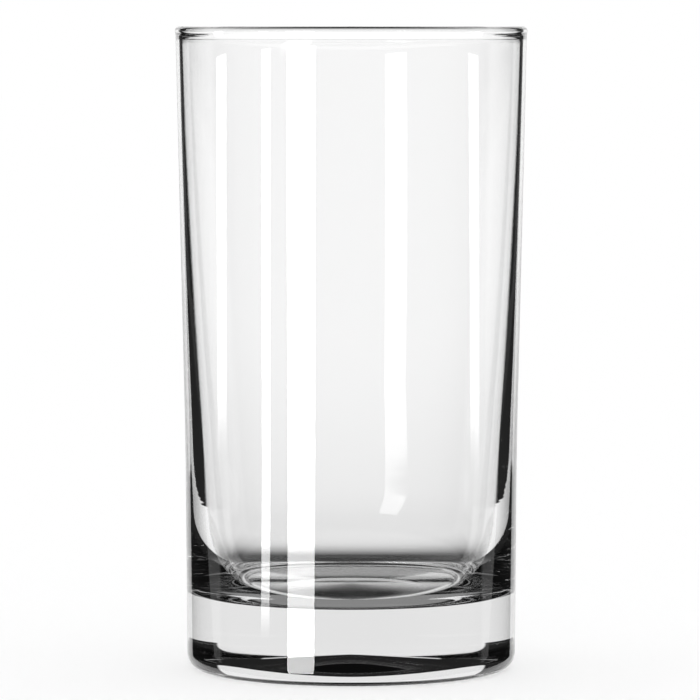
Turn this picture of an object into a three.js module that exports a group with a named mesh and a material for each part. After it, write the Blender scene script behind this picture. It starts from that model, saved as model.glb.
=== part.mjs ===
// A tall clear drinking glass with a heavy solid base, standing on the plane z = 0.
// It is one casting of glass. Each named zone of it is a closed ring or disc about the Z axis,
// and each zone sits on the flat face of the zone below. Millimetres, +Z up.
import * as THREE from 'three';

// Driving dimensions
const glassHeight = 124; // table to the top of the rim
const rimRadius = 33.75; // outside of the wall, just under the bead
const wallFlare = 1.75; // how much wider the wall is there than at the waist
const footTaper = 0.3; // how much wider the waist is than the foot, over the heel
const waistHeight = 44; // level of the waist, where the upright foot turns into the flare
const turnLength = 16; // length over which the turn is rounded off
const heelRadius = 3.4; // rounding between the side and the underside

const beadHeight = 2.6; // top of the rim to the line where the bead leaves the wall
const beadRadius = 0.9; // rounding of the bead's top
const beadOverhang = 0.16; // how far the bead stands out past the wall

const rimWall = 1.25; // wall under the bead
const bowlWall = 3.95; // wall where the bowl's rounded corner starts
const bowlFloorHeight = 14; // glass under the bowl, down to the table
const cornerHeight = 17; // rise of the rounded corner between the bowl's floor and the wall
const cornerReach = 7.2; // how far in from the line of the wall the corner runs, at the floor
const cornerPower = 2.8; // form of the corner: 2 is an oval, and more is squarer

const ringHeight = 0.8; // the low ring that the glass stands on
const ringWidth = 1.2; // flat band of the ring that touches the table
const hollowDepth = 4; // rise of the hollow underside over the table, at its middle
const hollowPower = 1.3; // form of the hollow: 1 is a cone and 2 is a dome

const sidesAround = 64;

// Levels and radii that follow from them
const waistRadius = rimRadius - wallFlare;
const baseRadius = waistRadius - footTaper;
const bowlCornerHeight = bowlFloorHeight + cornerHeight;
const beadFoot = glassHeight - beadHeight;
const beadMiddle = glassHeight - beadRadius;
const beadCentreRadius = rimRadius + beadOverhang - beadRadius;
const heelCentreRadius = baseRadius - heelRadius;
const ringInnerRadius = heelCentreRadius - ringWidth;
const ringTopShare = (1 - ringHeight / hollowDepth) ** (1 / hollowPower); // of the hollow's radius

const clearGlass = { color: 0xf1f4f3, roughness: 0.04, metalness: 0 };

// Heights spread evenly from one level to another, both included
function levels(from, to, steps) {
  return Array.from({ length: steps + 1 }, (_, step) => from + ((to - from) * step) / steps);
}

// Outside radius at a height: the heel's arc, the upright foot, a soft turn, then the straight flare
function outsideRadius(height) {
  if (height < heelRadius) {
    return heelCentreRadius + Math.sqrt(heelRadius ** 2 - (heelRadius - height) ** 2);
  }
  const footSlope = (waistRadius - baseRadius) / (waistHeight - heelRadius);
  const flareSlope = (rimRadius - waistRadius) / (beadFoot - waistHeight);
  const aboveWaist = height - waistHeight;
  const intoTurn = THREE.MathUtils.clamp(aboveWaist + turnLength / 2, 0, turnLength);
  const pastTurn = Math.max(aboveWaist - turnLength / 2, 0);
  const flared = intoTurn ** 2 / (2 * turnLength) + pastTurn;
  return waistRadius + footSlope * aboveWaist + (flareSlope - footSlope) * flared;
}

// The wall thickens with the square of the depth below the rim
function insideRadius(height) {
  const depth = (beadFoot - height) / (beadFoot - bowlCornerHeight);
  return outsideRadius(height) - rimWall - (bowlWall - rimWall) * depth ** 2;
}

// A point of the bowl's corner, from the wall at a zero angle to the floor at a right angle
function cornerPoint(angle) {
  const height = bowlCornerHeight - cornerHeight * Math.sin(angle) ** (2 / cornerPower);
  const inward = cornerReach * (1 - Math.cos(angle) ** (2 / cornerPower));
  return new THREE.Vector2(insideRadius(height) - inward, height);
}

// A point of the hollow underside, at a share of its radius: highest on the axis, down to the table
function hollowPoint(share) {
  return new THREE.Vector2(ringInnerRadius * share, hollowDepth * (1 - share ** hollowPower));
}

function outsideOf(heights) {
  return heights.map((height) => new THREE.Vector2(outsideRadius(height), height));
}

function insideOf(heights) {
  return heights.map((height) => new THREE.Vector2(insideRadius(height), height));
}

// A zone of the glass: a section, drawn counter-clockwise, turned about the Z axis
function turned(name, section) {
  const geometry = new THREE.LatheGeometry(section, sidesAround);
  geometry.rotateX(Math.PI / 2);
  const zone = new THREE.Mesh(geometry, new THREE.MeshStandardMaterial(clearGlass));
  zone.name = name;
  return zone;
}

function closed(section) {
  return [...section, section[0].clone()];
}

// The low ring under the base: the hollow's foot, a flat band on the table and the foot of the heel
function bearingRing() {
  const hollowFoot = levels(ringTopShare, 1, 2).map(hollowPoint);
  const heelFoot = outsideOf(levels(0, ringHeight, 3));
  return turned('bearing_ring', closed([...hollowFoot, ...heelFoot]));
}

// The solid base: the hollow underneath, the heel, the upright foot and the bottom of the bowl
function heavyBase() {
  const hollow = levels(0, ringTopShare, 5).map(hollowPoint);
  const heel = outsideOf(levels(ringHeight, heelRadius, 4));
  const wallTop = outsideOf([bowlCornerHeight]);
  const bowl = levels(0, Math.PI / 2, 10).map(cornerPoint);
  const floorMiddle = new THREE.Vector2(0, bowlFloorHeight);
  return turned('heavy_base', [...hollow, ...heel, ...wallTop, ...bowl, floorMiddle]);
}

// The side wall, from the bowl's corner up to the bead
function sideWall() {
  const turnStart = waistHeight - turnLength / 2;
  const turnEnd = waistHeight + turnLength / 2;
  const turn = levels(turnStart, turnEnd, 4).filter(
    (height) => height > bowlCornerHeight && height < beadFoot,
  );
  const outside = outsideOf([bowlCornerHeight, ...turn, beadFoot]);
  const inside = insideOf(levels(beadFoot, bowlCornerHeight, 8));
  return turned('side_wall', closed([...outside, ...inside]));
}

// The rounded bead round the mouth: a half-round top over two sides that run into the wall
function rimBead() {
  const top = levels(0, Math.PI, 10).map(
    (angle) =>
      new THREE.Vector2(
        beadCentreRadius + beadRadius * Math.cos(angle),
        beadMiddle + beadRadius * Math.sin(angle),
      ),
  );
  return turned('rim_bead', closed([...outsideOf([beadFoot]), ...top, ...insideOf([beadFoot])]));
}

const drinkingGlass = new THREE.Group();
drinkingGlass.name = 'drinking_glass';
drinkingGlass.add(bearingRing(), heavyBase(), sideWall(), rimBead());

export default drinkingGlass;
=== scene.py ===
import math

import bmesh
import bpy
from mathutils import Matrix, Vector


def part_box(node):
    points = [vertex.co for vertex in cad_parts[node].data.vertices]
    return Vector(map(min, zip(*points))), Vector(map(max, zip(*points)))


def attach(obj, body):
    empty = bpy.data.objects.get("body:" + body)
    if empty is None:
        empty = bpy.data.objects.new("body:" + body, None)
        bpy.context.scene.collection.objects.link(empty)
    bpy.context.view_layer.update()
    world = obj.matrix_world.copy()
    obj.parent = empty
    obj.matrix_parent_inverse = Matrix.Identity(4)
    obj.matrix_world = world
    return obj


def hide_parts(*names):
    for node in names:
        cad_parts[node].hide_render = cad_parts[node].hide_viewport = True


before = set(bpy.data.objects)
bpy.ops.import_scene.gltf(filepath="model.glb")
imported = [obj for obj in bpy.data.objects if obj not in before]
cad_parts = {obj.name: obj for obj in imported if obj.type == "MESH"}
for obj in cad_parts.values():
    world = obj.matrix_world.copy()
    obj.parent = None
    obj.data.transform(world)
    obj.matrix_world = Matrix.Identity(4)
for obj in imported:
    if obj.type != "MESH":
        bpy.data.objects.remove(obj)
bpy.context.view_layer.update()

scene = bpy.context.scene
mm = 0.001


# A socket of a node tree. Arithmetic on it adds Math nodes.
class Wire:
    def __init__(self, tree, socket):
        self.tree = tree
        self.socket = socket

    # any node: its type, its settings, then the values or links of its sockets
    @staticmethod
    def node(tree, kind, settings=None, sockets=None, out=0):
        made = tree.nodes.new("ShaderNode" + kind)
        for name, value in (settings or {}).items():
            setattr(made, name, value)
        for name, value in (sockets or {}).items():
            if isinstance(value, Wire):
                tree.links.new(value.socket, made.inputs[name])
            else:
                made.inputs[name].default_value = value
        return Wire(tree, made.outputs[out]) if made.outputs else made

    def math(self, operation, *others):
        values = dict(enumerate((self, *others)))
        return Wire.node(self.tree, "Math", {"operation": operation}, values)

    def __add__(self, other):
        return self.math("ADD", other)

    __radd__ = __add__

    def __mul__(self, other):
        return self.math("MULTIPLY", other)

    __rmul__ = __mul__

    def __sub__(self, other):
        return self.math("SUBTRACT", other)

    def __rsub__(self, other):
        return self * -1 + other

    # 0 below low, 1 above high, smooth between
    def rise(self, low, high):
        ends = {"Value": self, "From Min": low, "From Max": high}
        return Wire.node(self.tree, "MapRange", {"interpolation_type": "SMOOTHSTEP"}, ends)

    # 0 below an edge, 1 above it, soft on both sides
    def past(self, edge, soft):
        return (self - edge).rise(-soft, soft)

    # 1 between low and high, with soft edges
    def between(self, low, high, soft):
        return self.past(low, soft) * (1 - self.past(high, soft))

    # low where this is 0, high where it is 1
    def span(self, low, high):
        return self * (high - low) + low


def freshTree(owner):
    owner.use_nodes = True
    owner.node_tree.nodes.clear()
    return owner.node_tree


def addObject(name, data):
    made = bpy.data.objects.new(name, data)
    scene.collection.objects.link(made)
    return made


def meshFrom(name, shape):
    mesh = bpy.data.meshes.new(name)
    shape.to_mesh(mesh)
    shape.free()
    return mesh


# Camera: the photograph's height, distance and slight look down, on the glass's axis
cameraSet = {
    "distance": 1.020,
    "height": 0.1242,
    "lookDown": 3.507,  # degrees
    "lens": 272.35,
    "sensor": 36.0,
    "shift": -0.0017,  # the glass stands a pixel right of the middle
}


def makeCamera(s):
    data = bpy.data.cameras.new("camera")
    data.lens = s["lens"]
    data.sensor_width = s["sensor"]
    data.shift_x = s["shift"]
    camera = addObject("camera", data)
    camera.location = (0, -s["distance"], s["height"])
    camera.rotation_euler = (math.radians(90 - s["lookDown"]), 0, 0)
    scene.camera = camera


makeCamera(cameraSet)
print("camera placed")

# The glass: one casting, turned from a single section so that light meets no seam in it (mm)
glassSet = {
    "waistHeight": 44.0,
    "wallFlare": 1.75,
    "footTaper": 0.3,
    "turnLength": 16.0,
    "heelRadius": 3.4,
    "beadRadius": 0.9,
    "beadBlend": 15.0,  # degrees under the bead's middle where its sides leave the arc
    "beadPull": 0.45,  # share of those sides' height over which they hold their direction
    "rimWall": 1.25,
    "cornerStart": 31.0,  # height where the bowl's inside begins to round
    "cornerWall": 3.95,
    "cornerPower": 2.8,  # 2 is an oval, and more is squarer
    "floorHeight": 14.0,
    "floorRadius": 19.5,
    "hollowDepth": 4.0,
    "hollowPower": 1.3,  # 1 is a cone and 2 is a dome
    "ringWidth": 1.2,
    "segments": 256,
    "rows": {  # of faces along each stretch of the section
        "hollow": 40, "heel": 24, "side": 114, "bead": 28, "beadSide": 10,
        "bowl": 90, "corner": 60, "floor": 4,
    },
}


def glassSection(s):
    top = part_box("rim_bead")[1].z / mm
    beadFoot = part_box("rim_bead")[0].z / mm
    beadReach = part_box("rim_bead")[1].x / mm
    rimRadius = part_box("side_wall")[1].x / mm
    waistRadius = rimRadius - s["wallFlare"]
    baseRadius = waistRadius - s["footTaper"]
    heel = s["heelRadius"]
    rows = s["rows"]

    def outside(z):  # upright foot, soft turn, straight flare
        footSlope = s["footTaper"] / (s["waistHeight"] - heel)
        flareSlope = s["wallFlare"] / (beadFoot - s["waistHeight"])
        above = z - s["waistHeight"]
        turn = s["turnLength"]
        into = min(max(above + turn / 2, 0), turn)
        flared = into ** 2 / (2 * turn) + max(above - turn / 2, 0)
        return waistRadius + footSlope * above + (flareSlope - footSlope) * flared

    def inside(z):  # the wall thickens with the square of the depth
        depth = (beadFoot - z) / (beadFoot - s["cornerStart"])
        return outside(z) - s["rimWall"] - (s["cornerWall"] - s["rimWall"]) * depth ** 2

    def spread(a, b, count):
        return [a + (b - a) * i / count for i in range(count + 1)]

    def arc(r, z, radius, a, b, count):
        turns = [math.radians(t) for t in spread(a, b, count)]
        return [(r + radius * math.cos(t), z + radius * math.sin(t)) for t in turns]

    def curve(p, pOut, qIn, q, count):  # cubic from p to q, ends left out
        made = []
        for t in spread(0, 1, count)[1:-1]:
            u = 1 - t
            shares = (u ** 3, 3 * u * u * t, 3 * u * t * t, t ** 3)
            axes = zip(p, pOut, qIn, q)
            made.append(tuple(sum(k * v for k, v in zip(shares, axis)) for axis in axes))
        return made

    # underside, heel and outside
    hollowRadius = baseRadius - heel - s["ringWidth"]
    hollow = [(hollowRadius * t, s["hollowDepth"] * (1 - t ** s["hollowPower"]))
              for t in spread(0, 1, rows["hollow"])]
    foot = arc(baseRadius - heel, heel, heel, -90, 0, rows["heel"])
    side = [(outside(z), z) for z in spread(heel, beadFoot, rows["side"])[1:]]

    # bead: arc over the top, with cubic sides that run into the wall
    radius = s["beadRadius"]
    blend = s["beadBlend"]
    bead = arc(beadReach - radius, top - radius, radius, -blend, 180 + blend, rows["bead"])
    outTop, inTop = bead[0], bead[-1]
    outFoot, inFoot = side[-1], (inside(beadFoot), beadFoot)
    pull = s["beadPull"] * (outTop[1] - beadFoot)
    lean, drop = pull * math.sin(math.radians(blend)), pull * math.cos(math.radians(blend))
    outSide = curve(outFoot, (outFoot[0], beadFoot + pull),
                    (outTop[0] - lean, outTop[1] - drop), outTop, rows["beadSide"])
    inSide = curve(inTop, (inTop[0] + lean, inTop[1] - drop),
                   (inFoot[0], beadFoot + pull), inFoot, rows["beadSide"])

    # bowl: the wall's inside, then a squarish quarter oval taken off its line, down to the floor
    bowl = [(inside(z), z) for z in spread(beadFoot, s["cornerStart"], rows["bowl"])]
    cornerReach = inside(s["floorHeight"]) - s["floorRadius"]
    cornerDrop = s["cornerStart"] - s["floorHeight"]
    power = 2 / s["cornerPower"]
    for turn in spread(0, 90, rows["corner"])[1:]:
        down = math.sin(math.radians(turn)) ** power
        inward = 1 - max(math.cos(math.radians(turn)), 0) ** power
        z = s["cornerStart"] - cornerDrop * down
        bowl.append((inside(z) - cornerReach * inward, z))
    floor = [(s["floorRadius"] * t, s["floorHeight"]) for t in spread(1, 0, rows["floor"])[1:]]
    return hollow + foot + side + outSide + bead + inSide + bowl + floor


def turnedMesh(name, section, segments):
    shape = bmesh.new()
    onAxis = 1e-6  # a radius this small is one point
    rings = []
    for r, z in section:
        count = segments if r > onAxis else 1
        turns = [2 * math.pi * k / segments for k in range(count)]
        places = [(r * mm * math.cos(t), r * mm * math.sin(t), z * mm) for t in turns]
        rings.append([shape.verts.new(place) for place in places])
    for low, high in zip(rings, rings[1:]):
        for k in range(segments):
            n = (k + 1) % segments
            if len(low) == 1:
                shape.faces.new((low[0], high[n], high[k]))
            elif len(high) == 1:
                shape.faces.new((low[k], low[n], high[0]))
            else:
                shape.faces.new((low[k], low[n], high[n], high[k]))
    for face in shape.faces:
        face.smooth = True
    return meshFrom(name, shape)


# Clear glass: fire-polished, faintly wavy from pressing, scuffed only where it stands (metres)
finishSet = {
    "ior": 1.52,
    "absorb": 4.5,  # share lost for each metre of glass, at most
    "swell": {"Scale": 45.0, "Detail": 1.0},
    "ripple": {"Scale": 420.0, "Detail": 2.0},
    "rippleFlat": (0.05, 0.05, 1.0),  # long round the glass, short up it
    "rippleHeights": (0.016, 0.056),
    "rippleSoft": 0.006,
    "rippleShare": 0.16,
    "waveHeight": 1.2e-5,
    "specks": {"Scale": 2600.0, "Detail": 3.0},
    "speckRange": (0.45, 0.7),
    "polish": 0.004,
    "scuff": 0.3,
    "scuffHeights": (0.00018, 0.0006),
}


def clearGlass(s):
    material = bpy.data.materials.new("clearGlass")
    tree = freshTree(material)
    place = Wire.node(tree, "TexCoord", out="Object")
    height = Wire.node(tree, "SeparateXYZ", None, {0: place}, "Z")

    # slow swell all over, and fine level ripples in the lower wall where the casting chilled first
    swell = Wire.node(tree, "TexNoise", None, {"Vector": place, **s["swell"]})
    flat = Wire.node(tree, "VectorMath", {"operation": "MULTIPLY"}, {0: place, 1: s["rippleFlat"]})
    ripple = Wire.node(tree, "TexNoise", None, {"Vector": flat, **s["ripple"]})
    chilled = height.between(*s["rippleHeights"], s["rippleSoft"])
    waves = swell + ripple * chilled * s["rippleShare"]
    normal = Wire.node(tree, "Bump", None, {
        "Strength": 1.0, "Distance": s["waveHeight"], "Height": waves})

    specks = Wire.node(tree, "TexNoise", None, {"Vector": place, **s["specks"]})
    standing = 1 - height.rise(*s["scuffHeights"])
    roughness = specks.rise(*s["speckRange"]) * standing * s["scuff"] + s["polish"] * specks

    shader = Wire.node(tree, "BsdfPrincipled", None, {
        "Base Color": (1, 1, 1, 1), "Transmission Weight": 1.0, "IOR": s["ior"],
        "Roughness": roughness, "Normal": normal})
    body = Wire.node(tree, "VolumeAbsorption", None, {
        "Color": (0, 0, 0, 1), "Density": s["absorb"]})
    Wire.node(tree, "OutputMaterial", None, {"Surface": shader, "Volume": body})
    return material


glassMesh = turnedMesh("glass_body", glassSection(glassSet), glassSet["segments"])
glassMesh.materials.append(clearGlass(finishSet))
glass = addObject("glass_body", glassMesh)
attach(glass, "root")
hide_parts("bearing_ring", "heavy_base", "side_wall", "rim_bead")
print("glass turned:", len(glass.data.polygons), "faces")

# Floor: a plain white sheet. The glass itself looks past it to the studio's light.
floorSet = {
    "reach": 8.0,
    "white": 0.97,
    "grain": {"Scale": 900.0, "Detail": 2.0},
    "grainBump": {"Strength": 0.1, "Distance": 0.0002},
}


def makeFloor(s):
    shape = bmesh.new()
    bmesh.ops.create_grid(shape, x_segments=1, y_segments=1, size=s["reach"])
    floor = addObject("floor", meshFrom("floor", shape))
    material = bpy.data.materials.new("whitePaper")
    tree = freshTree(material)
    place = Wire.node(tree, "TexCoord", out="Object")
    grain = Wire.node(tree, "TexNoise", None, {"Vector": place, **s["grain"]})
    normal = Wire.node(tree, "Bump", None, {"Height": grain, **s["grainBump"]})
    white = (s["white"], s["white"], s["white"], 1)
    shader = Wire.node(tree, "BsdfDiffuse", None, {"Color": white, "Normal": normal})
    Wire.node(tree, "OutputMaterial", None, {"Surface": shader})
    floor.data.materials.append(material)
    floor.visible_glossy = False
    floor.visible_transmission = False


makeFloor(floorSet)

# Strip lights, seen only in the glass. A row is a height and the turns of a card's two edges
# there: metres, and degrees from the camera to the left. A front card shows where the outside
# mirrors it. The rear card shows off the inside of the far wall.
cardSet = [
    {"name": "strip_main", "rows": [(-0.2, 27.4, 46.0), (0.1065, 21.9, 40.5)],
     "away": 0.32, "fade": 0, "light": 14, "front": True},
    {"name": "strip_echo", "rows": [(-0.05, 29.3, 48.3), (0.26, 23.6, 39.2)],
     "away": 3.0, "fade": 0.05, "light": 4, "front": False},
    {"name": "strip_slim", "rows": [(-0.030, 56.25, 62.75), (0.107, 51.05, 57.55)],
     "away": 0.32, "fade": 0.016, "light": 12, "front": True},
    {"name": "strip_left", "rows": [(0.012, 91.8, 101.3), (0.1079, 85.2, 94.7)],
     "away": 0.32, "fade": 0.016, "light": 5, "front": True},
    {"name": "strip_right", "rows": [(0.008, -95.8, -87.2), (0.1075, -87.3, -78.7)],
     "away": 0.32, "fade": 0.018, "light": 5, "front": True},
]
cardSteps = 12  # faces across a card
rearCrossings = 4  # faces of glass on the way to the rear card; past more of them it is left out


def cardMesh(s):
    shape = bmesh.new()
    rows = []
    for z, first, last in s["rows"]:
        turns = [math.radians(first + (last - first) * i / cardSteps) for i in range(cardSteps + 1)]
        places = [(-s["away"] * math.sin(t), -s["away"] * math.cos(t), z) for t in turns]
        rows.append([shape.verts.new(place) for place in places])
    for low, high in zip(rows, rows[1:]):
        for i in range(cardSteps):
            shape.faces.new((low[i], low[i + 1], high[i + 1], high[i]))
    return meshFrom(s["name"], shape)


def cardGlow(s):
    material = bpy.data.materials.new(s["name"])
    tree = freshTree(material)
    surface = Wire.node(tree, "Emission", None, {"Strength": s["light"]})
    clear = Wire.node(tree, "BsdfTransparent")
    if not s["front"]:
        crossed = Wire.node(tree, "LightPath", out="Transmission Depth")
        tooMany = crossed.math("GREATER_THAN", rearCrossings)
        surface = Wire.node(tree, "MixShader", None, {0: tooMany, 1: surface, 2: clear})
    if s["fade"]:  # a soft lower end
        place = Wire.node(tree, "TexCoord", out="Object")
        low = s["rows"][0][0]
        full = Wire.node(tree, "SeparateXYZ", None, {0: place}, "Z").rise(low, low + s["fade"])
        surface = Wire.node(tree, "MixShader", None, {0: full, 1: clear, 2: surface})
    Wire.node(tree, "OutputMaterial", None, {"Surface": surface})
    return material


def makeCard(s):
    card = addObject(s["name"], cardMesh(s))
    card.data.materials.append(cardGlow(s))
    card.visible_camera = False
    card.visible_diffuse = False
    card.visible_shadow = False
    card.visible_glossy = s["front"]
    card.visible_transmission = not s["front"]


for card in cardSet:
    makeCard(card)

print("floor and cards placed")

# The studio all round: white to the camera and to the floor. Straight through the glass it is a
# white sheet that dims towards the table, in painted shade of the glass on the table; in reflection
# it is a dark room with sheets in it.
# Angles are degrees: up from level, and around from straight behind the glass to either side.
# A pair of angles is where a soft edge starts and ends.
studioSet = {
    "white": 1.11,
    "lowWhite": 0.92,
    "dimming": (-12.0, -5.5),
    # the deep: painted shade of the glass on the table close behind it
    "deep": (-35.0, -15.0),  # dark below, but not to the sides
    "deepEnd": (20.0, 32.0),
    "sideEnd": (74.0, 78.0),
    "room": 0.02,
    "floorLight": 2.0,  # what the floor gets through the glass
}
edgeSoft = 0.8  # of the sheets

# Straight through: darkest in the middle of the deep, which is painted shade of the glass on the
# table, under the ceiling and past the foot
throughSet = {
    "deepDark": 0.03,
    "deepSide": 0.20,
    "deepCore": (8.0, 15.0),
    "ceiling": (24.5, 27.5),
    "footTurns": (43.0, 78.0),
    "footSoft": 1.0,
    "footFrom": (-4.2, -3.2),
}


def throughLight(s, up, around, solid, sheet, deep, room):
    # the deep is painted shade of the glass on the table, darkest in the middle
    deepLight = around.rise(*s["deepCore"]).span(s["deepDark"], s["deepSide"])
    pastFoot = around.between(*s["footTurns"], s["footSoft"]) * up.rise(*s["footFrom"]) * solid
    black = up.rise(*s["ceiling"]).math("MAXIMUM", pastFoot)
    return black.span(deep.span(sheet, deepLight), room)


# From inside the wall: a sheet behind that opens out low down, one at each side, and painted shade
# of the glass on the table
wallSet = {
    "sheetTop": (4.0, 8.0),
    "sheetHalf": 22.1,
    "openFrom": -11.3,
    "openRate": 6.0,
    "sideStart": 28.8,
    "sideLean": 1.25,
    "sideTop": (-0.6, 0.2),
    "sideLight": 0.55,
    "lowLight": 0.72,
    "lowFrom": (-12.5, -11.5),
    "lowTurns": (28.0, 46.0),
    "tableShadeTop": -11.5,
    "tableShadeTopSoft": 0.2,
    "tableShadeHalf": 16.5,
    "tableShadeLean": 1.65,
    "tableShadeSoft": 1.2,
}


def wallSheets(s, up, around):
    opened = (s["openFrom"] - up).math("MAXIMUM", 0.0)
    behind = 1 - around.past(opened * opened * s["openRate"] + s["sheetHalf"], edgeSoft)
    sides = around.past(s["sideStart"] - up * s["sideLean"], edgeSoft)
    sides = sides * (1 - up.rise(*s["sideTop"])) * s["sideLight"]
    isLow = 1 - up.rise(*s["lowFrom"])
    low = isLow.span(1, around.rise(*s["lowTurns"]).span(s["lowLight"], 1))
    # painted shade of the glass on the table close under it, dark in reflection
    tableShadeEdge = (s["tableShadeTop"] - up) * s["tableShadeLean"] + s["tableShadeHalf"]
    tableShade = 1 - around.past(tableShadeEdge, s["tableShadeSoft"])
    tableShade = tableShade * (1 - up.past(s["tableShadeTop"], s["tableShadeTopSoft"]))
    underTop = 1 - up.rise(*s["sheetTop"])
    return behind.math("MAXIMUM", sides) * low * (1 - tableShade) * underTop


# The rest of what the wall shows: a light room to the sides, and the table close under the glass in
# painted shade, with painted light where the light bounced twice
roomSet = {
    "againLight": 0.2,  # what is left of the sheets after a second bounce
    "sideStart": (43.0, 49.0),
    "sideUp": (12.0, 16.0),
    "sideLight": 0.75,
    "underFrom": (-38.0, -28.0),
    "underLight": 0.28,
    "underAgain": 0.9,
}


def roomLight(s, up, around, again):
    side = around.rise(*s["sideStart"]) * up.rise(*s["sideUp"]) * s["sideLight"]
    # the table under the glass: painted shade, and painted light for light that bounced twice
    under = (1 - up.rise(*s["underFrom"])) * again.span(s["underLight"], s["underAgain"])
    return side.math("MAXIMUM", under)


# Off the outside: the same sheets from another angle
outsideSet = {
    "sheetTop": (35.0, 45.0),
    "sheetHalf": 22.2,
    "lean": 1.2,
    "leanTop": -1.8,
    "core": (9.0, 13.0),
    "coreLight": 0.75,
    "sideStart": 22.5,
    "sideLean": 6.25,
    "sideLeast": 34.0,
    "sideTop": (-1.0, -0.4),
    "sideLight": 0.50,
}


def outsideSheets(s, up, around):
    edge = s["sheetHalf"] - up.math("MINIMUM", s["leanTop"]) * s["lean"]
    behind = (1 - around.past(edge, edgeSoft)) * (1 - up.rise(*s["sheetTop"]))
    behind = behind * around.rise(*s["core"]).span(s["coreLight"], 1)
    sideEdge = (s["sideStart"] - up * s["sideLean"]).math("MAXIMUM", s["sideLeast"])
    sides = around.past(sideEdge, edgeSoft) * (1 - up.rise(*s["sideTop"])) * s["sideLight"]
    return behind.math("MAXIMUM", sides)


def makeStudio(s):
    world = bpy.data.worlds.new("studio")
    scene.world = world
    world.cycles.sampling_method = "NONE"  # the floor gets its light from its own rays alone
    tree = freshTree(world)
    way = Wire.node(tree, "TexCoord", out="Generated")
    x, y, z = (Wire.node(tree, "SeparateXYZ", None, {0: way}, axis) for axis in "XYZ")
    up = z.math("ARCSINE") * math.degrees(1)
    around = x.math("ABSOLUTE").math("ARCTAN2", y) * math.degrees(1)

    # how the light came: faces crossed, bounces, and off the floor
    pathNames = ("Is Camera Ray", "Is Diffuse Ray", "Diffuse Depth", "Glossy Depth",
                 "Transmission Depth")
    toCamera, toFloor, floors, bounces, crossed = (
        Wire.node(tree, "LightPath", out=name) for name in pathNames)
    mirrored = bounces.math("MINIMUM", 1)
    again = bounces.math("GREATER_THAN", 1)
    entered = crossed.math("MINIMUM", 1)
    solid = crossed.math("LESS_THAN", 3)  # two faces: through the base alone

    # painted shade of the glass on the table: dimming low down and dark in the deep, but not to the
    # sides
    aside = around.rise(*s["deepEnd"])
    bright = up.rise(*s["dimming"]).math("MAXIMUM", aside)
    sheet = bright.span(s["lowWhite"], s["white"])
    deep = (1 - up.rise(*s["deep"])) * (1 - aside)
    shown = (1 - deep) * (1 - around.rise(*s["sideEnd"]))

    through = throughLight(throughSet, up, around, solid, sheet, deep, s["room"])
    inner = (wallSheets(wallSet, up, around) * shown).span(s["room"], sheet)
    inner = inner * again.span(1, roomSet["againLight"])
    rest = roomLight(roomSet, up, around, again) * (1 - again * solid)
    inner = inner.math("MAXIMUM", rest)
    outer = (outsideSheets(outsideSet, up, around) * shown).span(s["room"], sheet)

    seen = mirrored.span(through, entered.span(outer, inner))
    seen = floors.math("MINIMUM", 1).span(seen, s["floorLight"])
    plain = toCamera.math("MAXIMUM", toFloor)
    light = seen * (1 - plain) + toCamera + toFloor * (1 / floorSet["white"])
    glow = Wire.node(tree, "Background", None, {"Color": light, "Strength": 1.0})
    Wire.node(tree, "OutputWorld", None, {"Surface": glow})


makeStudio(studioSet)
print("studio lit")

# Enough bounces for light that runs round inside the wall
scene.cycles.max_bounces = 32
scene.cycles.glossy_bounces = 24
scene.cycles.transmission_bounces = 32
scene.view_settings.view_transform = "Standard"
